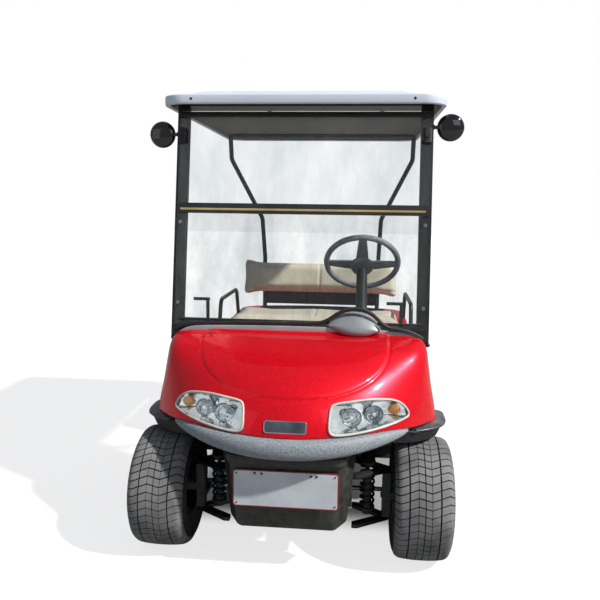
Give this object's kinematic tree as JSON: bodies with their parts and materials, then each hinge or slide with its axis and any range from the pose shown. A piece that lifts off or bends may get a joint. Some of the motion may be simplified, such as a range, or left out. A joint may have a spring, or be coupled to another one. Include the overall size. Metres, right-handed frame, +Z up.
{
  "type": "golf cart",
  "caption": "Open golf cart with a red front cowl, bench seat, full roof on struts, folding windscreen, bag well and treaded tyres.",
  "frame": {"origin": "on the ground under the middle of the cart's bounding box", "axes": "+Z up, the nose points to -Y, +X is the driver's side"},
  "size_m": [1.262, 2.388, 1.7739],
  "materials": {
    "red_shell": "metallic red gloss paint",
    "black_plastic": "fine textured black plastic",
    "grey_plastic": "textured grey plastic",
    "dash_plastic": "satin dark grey plastic",
    "trim_grey": "silver grey satin strip",
    "clear_glass": "clear polycarbonate sheet",
    "lamp_lens": "clear lamp lens",
    "lamp_red": "red tail lamp lens",
    "plate_white": "white enamel plate, blank",
    "badge_dark": "blank dark badge with a bright rim",
    "tyre_rubber": "worn treaded rubber",
    "wheel_white": "pale painted steel wheel",
    "black_steel": "black powder coated steel",
    "frame_steel": "dark coated steel",
    "bare_steel": "zinc plated steel",
    "cast_grey": "cast housing, dull grey",
    "seat_vinyl": "stone coloured grained vinyl",
    "seat_board": "moulded seat board",
    "floor_rubber": "ribbed rubber floor mat",
    "roof_plastic": "pale moulded roof",
    "grip_rubber": "moulded steering wheel grip",
    "battery_case": "battery cases",
    "mirror_black": "gloss black mirror housing"
  },
  "bodies": {
    "root": {"chassis_frame": "frame_steel", "battery_block": "battery_case", "rear_axle": "cast_grey", "rear_springs": "frame_steel", "front_suspension": "black_steel", "front_cowl": "red_shell", "headlamps": "lamp_lens", "badge_plate": "badge_dark", "front_bumper": "grey_plastic", "front_valance": "black_plastic", "number_plate": "plate_white", "wheel_liners": "black_plastic", "sill_panels": "black_plastic", "floor_pan": "floor_rubber", "dash": "dash_plastic", "column_cover": "dash_plastic", "cowl_trim": "trim_grey", "steering_column": "black_steel", "pedals": "black_steel", "rear_body": "red_shell", "rear_flares": "black_plastic", "rear_bumper": "black_plastic", "bag_well": "black_plastic", "seat_base": "black_plastic", "tail_lamps": "lamp_red", "seat_hinges": "bare_steel", "seat_back": "seat_vinyl", "hip_restraints": "black_steel", "windscreen_lower": "clear_glass", "windscreen_upper": "clear_glass", "windscreen_hinge": "black_plastic", "front_struts": "black_steel", "rear_struts": "black_steel", "roof": "roof_plastic", "mirrors": "mirror_black", "sweater_basket": "black_plastic"},
    "knuckle_left": {"knuckle_left": "cast_grey"},
    "knuckle_right": {"knuckle_right": "cast_grey"},
    "wheel_front_left": {"tyre_front_left": "tyre_rubber", "rim_front_left": "wheel_white"},
    "wheel_front_right": {"tyre_front_right": "tyre_rubber", "rim_front_right": "wheel_white"},
    "wheel_rear_left": {"tyre_rear_left": "tyre_rubber", "rim_rear_left": "wheel_white"},
    "wheel_rear_right": {"tyre_rear_right": "tyre_rubber", "rim_rear_right": "wheel_white"},
    "steering": {"steering_wheel": "grip_rubber"},
    "rack": {"tie_rods": "bare_steel"},
    "seat": {"seat_pan": "seat_board", "seat_cushion": "seat_vinyl"}
  },
  "joints": [
    {"name": "steering_wheel_turn", "type": "hinge", "parent": "root", "child": "steering", "pos_m": [0.249, -0.332, 1.07], "axis": [0, 0.7431, 0.6691], "range_deg": [-375, 375]},
    {"name": "steer_left", "type": "hinge", "parent": "root", "child": "knuckle_left", "pos_m": [0.36, -0.866, 0.2285], "axis": [0, 0, 1], "range_deg": [-25.01, 25.01]},
    {"name": "steer_right", "type": "hinge", "parent": "root", "child": "knuckle_right", "pos_m": [-0.36, -0.866, 0.2285], "axis": [0, 0, 1], "range_deg": [-25.01, 25.01]},
    {"name": "rack_slide", "type": "slide", "parent": "root", "child": "rack", "axis": [1, 0, 0], "range_m": [-0.0485, 0.0485]},
    {"name": "wheel_spin_front_left", "type": "hinge", "parent": "knuckle_left", "child": "wheel_front_left", "pos_m": [0.487, -0.866, 0.2285], "axis": [1, 0, 0], "continuous": true},
    {"name": "wheel_spin_front_right", "type": "hinge", "parent": "knuckle_right", "child": "wheel_front_right", "pos_m": [-0.487, -0.866, 0.2285], "axis": [1, 0, 0], "continuous": true},
    {"name": "wheel_spin_rear_left", "type": "hinge", "parent": "root", "child": "wheel_rear_left", "pos_m": [0.487, 0.815, 0.2285], "axis": [1, 0, 0], "continuous": true},
    {"name": "wheel_spin_rear_right", "type": "hinge", "parent": "root", "child": "wheel_rear_right", "pos_m": [-0.487, 0.815, 0.2285], "axis": [1, 0, 0], "continuous": true},
    {"name": "seat_lift", "type": "hinge", "parent": "root", "child": "seat", "pos_m": [0, 0.58, 0.6193], "axis": [-1, 0, 0], "range_deg": [0, 50]}
  ],
  "couplings": [
    {"joint": "steer_left", "follows": "steering_wheel_turn", "ratio": 0.066667},
    {"joint": "steer_right", "follows": "steering_wheel_turn", "ratio": 0.066667},
    {"joint": "rack_slide", "follows": "steering_wheel_turn", "m_per_rad": -0.007333}
  ]
}
